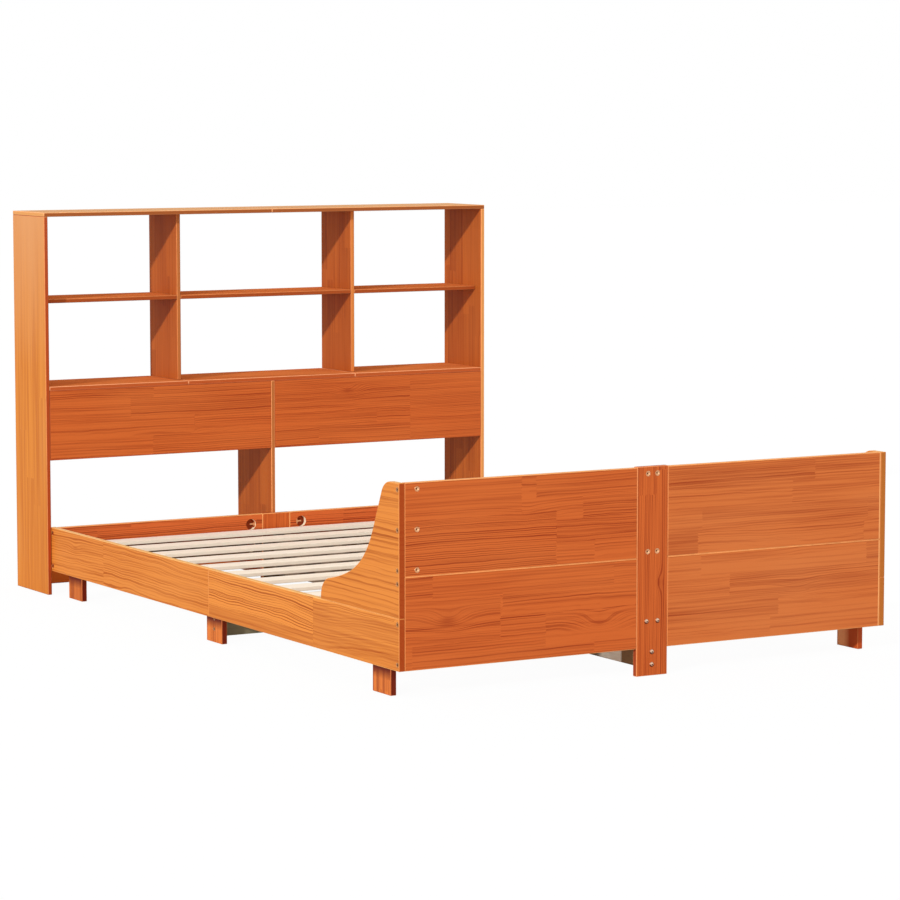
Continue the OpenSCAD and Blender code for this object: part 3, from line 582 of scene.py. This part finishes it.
footRows = rowHeights(railBottom, boardMid) + rowHeights(boardMid, boardTop)
headRows = [railBottom + fixings["edgeInset"], railTop - fixings["edgeInset"]]
boltSpots = [(footY + boardT / 2, z) for z in footRows] + [(headY - boardT / 2, z) for z in headRows]
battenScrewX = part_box("footboard_batten")[1].x - fixings["battenScrewInset"]
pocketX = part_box("head_rail_right")[0].x + fixings["pocketInset"]
sideBolts, barrelNuts, screws, domedBolts, pockets = [], [], [], [], []
for side in (-1, 1):
    for y, z in boltSpots:
        sideBolts.append(((side * railX, y, z), (-side, 0, 0), "bolt"))
        fromFront = side < 0 and z > boardMid
        face = headY if y > 0 else (footY if fromFront else footY + boardT)
        barrelNuts.append(
            ((side * (railX - fixings["barrelInset"]), face, z), (0, 1 if fromFront else -1, 0), "barrel"))
    for z in (boardMid + fixings["edgeInset"], boardTop - fixings["edgeInset"]):
        screws.append(((side * fixings["plankScrewGap"] / 2, footY, z), (0, 1, 0), "plankScrew"))
    for bottom in (railBottom, boardMid):
        for share in fixings["battenScrewShares"]:
            z = bottom + share * (boardMid - railBottom)
            screws.append(((side * battenScrewX, footY + 2 * boardT, z), (0, -1, 0), "screw"))
    for rise in fixings["crossScrewRises"]:
        screws.append(((side * (railX - boardT), midY, beamBottom + rise), (-side, 0, 0), "beamScrew"))
    for part in ("foot", "middle", "head"):
        low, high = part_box("leg_left_" + part)
        for offset in (-1, 1):
            y = (low.y + high.y) / 2 + offset * fixings["legScrewSpread"]
            z = (railBottom + cleatBottom) / 2
            screws.append(((side * (railX - 2 * boardT), y, z), (side, 0, 0), "screw"))
    cleatLow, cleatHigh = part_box("slat_cleat_right")
    run = cleatHigh.y - cleatLow.y - 2 * fixings["cleatScrewInset"]
    for number in range(fixings["cleatScrews"]):
        y = cleatLow.y + fixings["cleatScrewInset"] + run * number / (fixings["cleatScrews"] - 1)
        screws.append(((side * cleatLow.x, y, (slatBottom + cleatBottom) / 2), (side, 0, 0), "cleatScrew"))
    for number in range(1, slats["count"] + 1):
        low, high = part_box("slat_%d" % number)
        y = (low.y + high.y) / 2
        screws.append(((side * fixings["slatScrewX"], y, slatTop), (0, 0, -1), "slatScrew"))
    domedBolts.append(
        ((side * fixings["domeGap"] / 2, footY, railBottom + fixings["domeRise"]), (0, 1, 0), "dome"))
    for z in (railBottom + fixings["pocketDrop"], railTop - fixings["pocketDrop"]):
        pockets.append(((side * pocketX, headY - boardT, z), (0, 1, 0), "pocket"))
for rise in fixings["beamScrewRises"]:
    screws.append(((0, headY, beamBottom + rise), (0, -1, 0), "beamScrew"))
for rise in fixings["beamBoltRises"]:
    domedBolts.append(((0, footY, beamBottom + rise), (0, 1, 0), "longDome"))


holes = {"clearance": 0.0002, "above": 0.001, "sides": 24, "pocketSides": 48, "tolerance": 0.0001}


def cutHoles(board, node):
    # each fixing whose head lies in one of the board's faces gets its hole
    low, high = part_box(node)
    clear, near = holes["clearance"], holes["tolerance"]
    for spot, way, kind in sideBolts + barrelNuts + screws + pockets:
        inside = all(low[i] - near < spot[i] < high[i] + near for i in range(3))
        axis = max(range(3), key=lambda i: abs(way[i]))
        onFace = abs(spot[axis] - (low if way[axis] > 0 else high)[axis]) < near
        if not (inside and onFace):
            continue
        shape = kinds[kind]
        shank, head = shape["shank"] + clear, shape["head"] + clear
        rings = [(-shape["length"] - clear, shank), (holes["above"], head)]
        if head > shank:
            rings[1:1] = [(-(head - shank), shank), (0, head)]
        cutter = turned("cutter", rings, holes["pocketSides" if kind == "pocket" else "sides"])
        cutter.data.materials.append(cutWood)
        cutter.data.materials.append(pocketFloorShade)
        if kind == "pocket":
            # its floor has a finish of its own, dark as painted shade
            for face in cutter.data.polygons:
                if face.normal.z < -0.5:
                    face.material_index = 1
        stand(cutter, spot, way)
        subtract(board, cutter)


# Rails. A knot is its place along and across the board, size, how far it lifts the rings, and darkness.
# A block is its ends, its lower and upper edges, and its rings, shade and heart
rails = {
    "layout": "YZX",
    "left_foot": {"look": honeyRail, "seed": 3, "wave": 2.2, "blocks": [
        (0.44, 1.10, 0.034, 0.15, 2.4, -0.10, 0.12), (0.44, 1.10, 0.0, 0.034, 0.5, 0.28, 0.0),
        (-0.01, 0.44, 0.0, 0.112, 0.7, 0.22, -0.02)], "knots": [(0.400, 0.080, 0.070, 0.014, 0.16)]},
    "left_head": {"look": honeySide, "seed": 8, "wave": 2.0, "blocks": [
        (-0.01, 0.67, 0.0, 0.15, 1.4, 0.0, 0.06), (0.67, 1.10, 0.0, 0.15, 1.4, -0.02, 0.02)],
        "knots": [(0.86, 0.085, 0.016, 0.010, 0.3)]},
    "right_foot": {
        "look": honeySideRight, "seed": 12, "wave": 1.5, "knots": [(0.31, 0.052, 0.012, 0.010, 0.6)]},
    "right_head": {"look": honeySideRight, "seed": 5, "wave": 1.5},
}
for part in ("left_foot", "left_head", "right_foot", "right_head"):
    node = "side_rail_" + part
    finish = pineFinish(node + "_pine", node, layout=rails["layout"], **rails[part])
    board = addBoard("rail_" + part, node, [finish, railArris])
    cutHoles(board, node)
    dress(board, node)
print("rails ready")

# Wings, drawn as an outline in Y and Z and given their thickness
wings = {
    "flat": 0.045, "cornerRadius": 0.045, "slope": 66.0, "slopeLength": 0.098,
    "pullTop": 0.105, "pullNose": 0.130, "noseRadius": 0.050, "noseRise": 0.008, "noseSlope": 11.0,
    "length": 0.397, "arcSteps": 14, "sweepSteps": 26, "layout": "YZX", "wave": 2.0,
    "looks": {"left": honeyWing, "right": honeyWingRight}, "seeds": {"left": 21, "right": 34},
    "blocks": [(-0.01, 0.41, -0.01, 0.35, 1.6, 0.0, 0.14)],
}


def arc(centre, radius, begin, end, steps):
    return [centre + radius * Vector((math.cos(a), math.sin(a)))
            for a in (math.radians(begin + (end - begin) * step / steps) for step in range(steps + 1))]


def wingOutline():
    corner = Vector((wings["flat"], boardTop - wings["cornerRadius"]))
    steep, gentle = math.radians(wings["slope"]), math.radians(wings["noseSlope"])
    down = Vector((math.cos(steep), -math.sin(steep)))
    points = [Vector((0, railTop)), Vector((0, boardTop))]
    points += arc(corner, wings["cornerRadius"], 90, 90 - wings["slope"], wings["arcSteps"])
    start = points[-1] + wings["slopeLength"] * down
    nose = Vector((wings["length"] - wings["noseRadius"], railTop + wings["noseRise"]))
    out = Vector((math.cos(gentle), -math.sin(gentle)))
    end = nose + wings["noseRadius"] * Vector((math.sin(gentle), math.cos(gentle)))
    pulls = [start, start + wings["pullTop"] * down, end - wings["pullNose"] * out, end]
    points.append(start)
    for step in range(1, wings["sweepSteps"]):
        t = step / wings["sweepSteps"]
        u = 1 - t
        points.append(
            u ** 3 * pulls[0] + 3 * u * u * t * pulls[1] + 3 * u * t * t * pulls[2] + t ** 3 * pulls[3])
    points += arc(nose, wings["noseRadius"], 90 - wings["noseSlope"], 0, wings["arcSteps"])
    points.append(Vector((wings["length"], railTop)))
    return points


for part in ("left", "right"):
    node = "wing_" + part
    low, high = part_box(node)
    outline = wingOutline()
    deselect()
    bpy.ops.mesh.primitive_circle_add(vertices=len(outline), fill_type="NGON", location=(0, 0, 0))
    wing = bpy.context.object
    wing.name = wing.data.name = "wing_board_" + part
    for corner, (y, z) in zip(wing.data.vertices, outline):
        corner.co = (low.x, footY + y, z)
    wing.data.materials.append(pineFinish(
        node + "_pine", node, wings["looks"][part], wings["layout"], wings["seeds"][part],
        wave=wings["wave"], blocks=wings["blocks"]))
    wing.data.materials.append(railArris)
    bpy.ops.object.mode_set(mode="EDIT")
    bpy.ops.mesh.select_all(action="SELECT")
    bpy.ops.mesh.extrude_region_move(TRANSFORM_OT_translate={"value": (high.x - low.x, 0, 0)})
    bpy.ops.mesh.select_all(action="SELECT")
    bpy.ops.mesh.normals_make_consistent(inside=False)
    bpy.ops.object.mode_set(mode="OBJECT")
    easeEdges(wing)
    cutHoles(wing, node)
    dress(wing, node)
print("wings ready")

# The other boards: each has a look, a layout and a seed that picks its grain
boards = {
    "footboard_lower_left": (honeyFront, "XZY", 41), "footboard_lower_right": (honeyFrontPale, "XZY", 47),
    "footboard_upper_left": (honeyFront, "XZY", 52), "footboard_upper_right": (honeyFrontPale, "XZY", 59),
    "footboard_plank": (honeyPlank, "ZXY", 63), "head_rail_left": (shadedRail, "XZY", 71),
    "head_rail_right": (shadedRail, "XZY", 77), "head_plank": (shadedPlank, "ZXY", 81),
    "leg_left_foot": (honeyLeg, "ZYX", 83), "leg_left_middle": (honeyLeg, "ZYX", 84),
    "leg_left_head": (honeyLeg, "ZYX", 85), "leg_right_foot": (litLeg, "ZYX", 86),
    "leg_right_middle": (honeyLeg, "ZYX", 87), "leg_right_head": (honeyLeg, "ZYX", 88),
    "case_side_left": (honeyCase, "ZYX", 90), "case_side_right": (honeyEnd, "ZYX", 91),
    "case_top_left": (honeyTop, "XYZ", 92), "case_top_right": (honeyTop, "XYZ", 93),
    "case_divider_left": (honeyShade, "ZYX", 94), "case_divider_right": (honeyDivider, "ZYX", 95),
    "case_mid_shelf_left": (honeyMidShelf, "XYZ", 96), "case_mid_shelf_centre": (honeyMidShelf, "XYZ", 97),
    "case_mid_shelf_right": (honeyMidShelf, "XYZ", 98), "case_low_shelf_left": (honeyShelf, "XYZ", 99),
    "case_low_shelf_centre": (honeyShelf, "XYZ", 100), "case_low_shelf_right": (honeyShelf, "XYZ", 101),
    "case_panel_left": (honeyFront, "XZY", 102), "case_panel_right": (honeyFront, "XZY", 103),
    "case_kick_board": (honeyKick, "XZY", 104), "case_upright": (honeyShade, "ZYX", 126),
}
# the first name that a node starts with gives the finish of its rounded edges
edgings = {
    "case_top": topArris, "case_low_shelf": shelfArris, "case_panel": panelArris,
    "case_upright": uprightArris, "case_side_right": uprightArris, "case": caseArris, "leg": legArris,
    "footboard_plank": plankArris, "footboard": boardArris, "head": bedArris,
}
boardKnots = {
    "footboard_lower_left": [(0.119, 0.114, 0.028, 0.026, 0.7), (0.557, 0.076, 0.026, 0.020, 0.5)],
    "footboard_upper_left": [(0.34, 0.145, 0.026, 0.008, 0.0)],
    "footboard_plank": [(0.235, 0.066, 0.011, 0.010, 0.7)],
    "footboard_lower_right": [(0.40, 0.12, 0.022, 0.009, 0.0)],
    "case_panel_right": [(0.25, 0.163, 0.020, 0.018, 0.5)],
}
boardBlocks = {
    "footboard_lower_left": [
        (-0.01, 0.27, 0.060, 0.165, 1.3, 0.0, 0.03), (0.40, 0.72, 0.030, 0.110, 1.2, 0.0, 0.0)],
    "footboard_upper_left": [
        (-0.01, 0.43, -0.01, 0.135, 2.0, 0.0, 0.10), (-0.01, 0.33, 0.135, 0.230, 0.8, 0.0, 0.08)],
    "case_panel_right": [
        (-0.01, 0.47, 0.100, 0.210, 1.1, 0.02, 0.05), (0.47, 0.75, -0.01, 0.210, 1.0, -0.06, 0.09)],
}
for node, (look, layout, seed) in boards.items():
    finish = pineFinish(
        node + "_pine", node, look, layout, seed, boardKnots.get(node, ()), blocks=boardBlocks.get(node, ()))
    edging = next(edgings[start] for start in edgings if node.startswith(start))
    board = addBoard(node + "_board", node, [finish, edging])
    cutHoles(board, node)
    dress(board, node)
print("footboard, legs and bookcase ready")

# Slats: one is modelled, and the others are copies with meshes of their own
slatFinish = pineFinish("slat_pine", "slat_1", slatWood, "XYZ", slats["seed"])
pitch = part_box("slat_2")[0].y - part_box("slat_1")[0].y
firstSlat = addBoard("slat_board_1", "slat_1", [slatFinish, bareArris])
cutHoles(firstSlat, "slat_1")
slatBoards = [firstSlat]
for number in range(2, slats["count"] + 1):
    pick(firstSlat)
    bpy.ops.object.duplicate_move(TRANSFORM_OT_translate={"value": (0, pitch * (number - 1), 0)})
    slat = bpy.context.object
    settle(slat)
    slat.name = slat.data.name = "slat_board_%d" % number
    slatBoards.append(slat)
for number, slat in enumerate(slatBoards, 1):
    dress(slat, "slat_%d" % number)
print("slats ready")


# Screws and bolts: one of each kind is turned, gets its recess, and is copied to every place
headFinishes = {"bolt": boltSteel, "dome": bronze, "longDome": bronze, "beamScrew": darkerSteel}
heads = {
    "sides": 24, "smoothAngle": 32, "tipShare": 0.25, "barrelChamfer": 0.0006,
    "domeTipShare": 0.8, "domeTipLength": 0.001, "domeRim": 0.00005, "domeSteps": 8, "domeFlat": 0.0009,
    "dishDepth": 0.0020, "dishFloor": 0.0003, "dishAbove": 0.0002,
    "recessDepth": 0.0036, "recessAbove": 0.002,
}


def screwModel(kind):
    shape = kinds[kind]
    shank, head, length = shape["shank"], shape["head"], shape["length"]
    domed = "crown" in shape
    if domed:
        rise, steps = shape["crown"], heads["domeSteps"]
        ball = (head * head + rise * rise) / (2 * rise)
        rings = [(-length, shank * heads["domeTipShare"]), (-length + heads["domeTipLength"], shank),
                 (0, shank), (heads["domeRim"], head)]
        for step in range(1, steps + 1):
            z = rise * step / steps
            radius = math.sqrt(max(ball ** 2 - (ball - rise + z) ** 2, 0))
            rings.append((z, max(radius, heads["domeFlat"])))
    elif kind == "barrel":
        chamfer = heads["barrelChamfer"]
        rings = [(-length, head - chamfer), (-length + chamfer, head), (-chamfer, head), (0, head - chamfer)]
    else:
        rings = [(-length, shank * heads["tipShare"]), (-length + 2 * shank, shank),
                 (-(head - shank), shank), (0, head)]
    # the recess takes a darker finish, as painted shade
    recessShadeFinish = bronzeRecessShade if domed else recessShadeSteel
    model = turned("model", rings, heads["sides"])
    model.data.materials.append(headFinishes.get(kind, zinc))
    model.data.materials.append(recessShadeFinish)
    top = rings[-1][0]
    if "dish" in shape:
        dishRings = [(top - heads["dishDepth"], shape["recess"] + heads["dishFloor"]),
                     (top + heads["dishAbove"], shape["dish"])]
        dish = turned("dish", dishRings, heads["sides"])
        dish.data.materials.append(zinc)
        subtract(model, dish)
    recessRings = [(top - heads["recessDepth"], shape["recess"]),
                   (top + heads["recessAbove"], shape["recess"])]
    recess = turned("recess", recessRings, shape["recessSides"])
    recess.data.materials.append(recessShadeFinish)
    subtract(model, recess)
    pick(model)
    bpy.ops.object.shade_smooth_by_angle(angle=math.radians(heads["smoothAngle"]))
    return model


def placeAll(name, node, fixingList):
    models = {kind: screwModel(kind) for kind in sorted({kind for _, _, kind in fixingList})}
    copies = []
    for spot, way, kind in fixingList:
        pick(models[kind])
        bpy.ops.object.duplicate()
        copy = bpy.context.object
        stand(copy, spot, way)
        copies.append(copy)
    for model in models.values():
        bpy.data.objects.remove(model, do_unlink=True)
    deselect()
    for copy in copies:
        copy.select_set(True)
    bpy.context.view_layer.objects.active = copies[0]
    bpy.ops.object.join()
    joined = bpy.context.object
    joined.name = joined.data.name = name
    dress(joined, node)


placeAll("side_bolt_set", "side_bolts", sideBolts)
placeAll("barrel_nut_set", "barrel_nuts", barrelNuts)
placeAll("domed_bolt_set", "domed_bolts", domedBolts)
placeAll("wood_screw_set", "wood_screws", screws)
print("fixings ready")

# Beams, cleats, batten, pocket bolts and dowels keep their solids and take a better finish
hiddenWood = {
    "footboard_batten": (bareWood, "ZXY", 121), "slat_cleat_left": (bareWood, "YZX", 122),
    "slat_cleat_right": (bareWood, "YZX", 123), "centre_beam": (shadedBeam, "YZX", 124),
    "cross_beam": (crossBeamShadeWood, "XZY", 125),
}
for node, (look, layout, seed) in hiddenWood.items():
    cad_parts[node].data.materials.clear()
    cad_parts[node].data.materials.append(pineFinish(node + "_pine", node, look, layout, seed))
for node, finish in {"pocket_bolts": zinc, "dowels": dowelWood}.items():
    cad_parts[node].data.materials.clear()
    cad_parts[node].data.materials.append(finish)
print("beams and dowels ready")

# Floor, light and camera
studio = {
    "floorSize": 60.0, "floorTone": (0.60, 0.60, 0.60, 1), "seenTone": (0.04, 0.04, 0.04, 1),
    "floorSeen": 0.96, "skySeen": 1.0, "skyLight": 0.85,
    "sunPlace": (-3, -3, 3), "sunWay": (1.0, 0.50, -0.39), "sunStrength": 2.15, "sunSpread": 1.5,
}
deselect()
bpy.ops.mesh.primitive_plane_add(size=studio["floorSize"], location=(0, 0, 0))
floor = bpy.context.object
floor.name = "studioFloor"
floorFinish, wire = newFinish("studioFloorPaint")
lit = wire.node("ShaderNodeBsdfDiffuse", None, {"Color": studio["floorTone"]})
seenPaint = wire.node("ShaderNodeBsdfDiffuse", None, {"Color": studio["seenTone"]})
glow = wire.node("ShaderNodeEmission", None, {"Color": (1, 1, 1, 1), "Strength": studio["floorSeen"]})
seen = wire.node("ShaderNodeAddShader", None, {0: seenPaint, 1: glow})
direct = wire.node("ShaderNodeLightPath", None, None, "Is Camera Ray")
finishEnd(wire, wire.node("ShaderNodeMixShader", None, {0: direct, 1: lit, 2: seen}))
floor.data.materials.append(floorFinish)

sky = bpy.data.worlds.new("studioSky")
sky.use_nodes = True
skyWire = Wire(sky.node_tree)
direct = skyWire.node("ShaderNodeLightPath", None, None, "Is Camera Ray")
strength = direct * (studio["skySeen"] - studio["skyLight"]) + studio["skyLight"]
skyWire.feed(sky.node_tree.nodes["Background"].inputs["Color"], (1, 1, 1, 1))
skyWire.feed(sky.node_tree.nodes["Background"].inputs["Strength"], strength)
bpy.context.scene.world = sky

bpy.ops.object.light_add(type="SUN", location=studio["sunPlace"])
sun = bpy.context.object
sun.name = "keyLight"
sun.data.energy = studio["sunStrength"]
sun.data.angle = math.radians(studio["sunSpread"])
sun.rotation_euler = Vector(studio["sunWay"]).to_track_quat("-Z", "Y").to_euler()

view = {
    "place": (-4.7216, -8.2065, 1.4379), "turn": 30.3342, "tilt": -5.8514,
    "lens": 136.946, "sensor": 36, "farEnd": 200,
}
bpy.ops.object.camera_add(
    location=view["place"], rotation=(math.radians(90 + view["tilt"]), 0, math.radians(-view["turn"])))
camera = bpy.context.object
camera.data.lens = view["lens"]
camera.data.sensor_width = view["sensor"]
camera.data.clip_end = view["farEnd"]
bpy.context.scene.camera = camera
bpy.context.scene.view_settings.view_transform = "Standard"
print("studio ready")
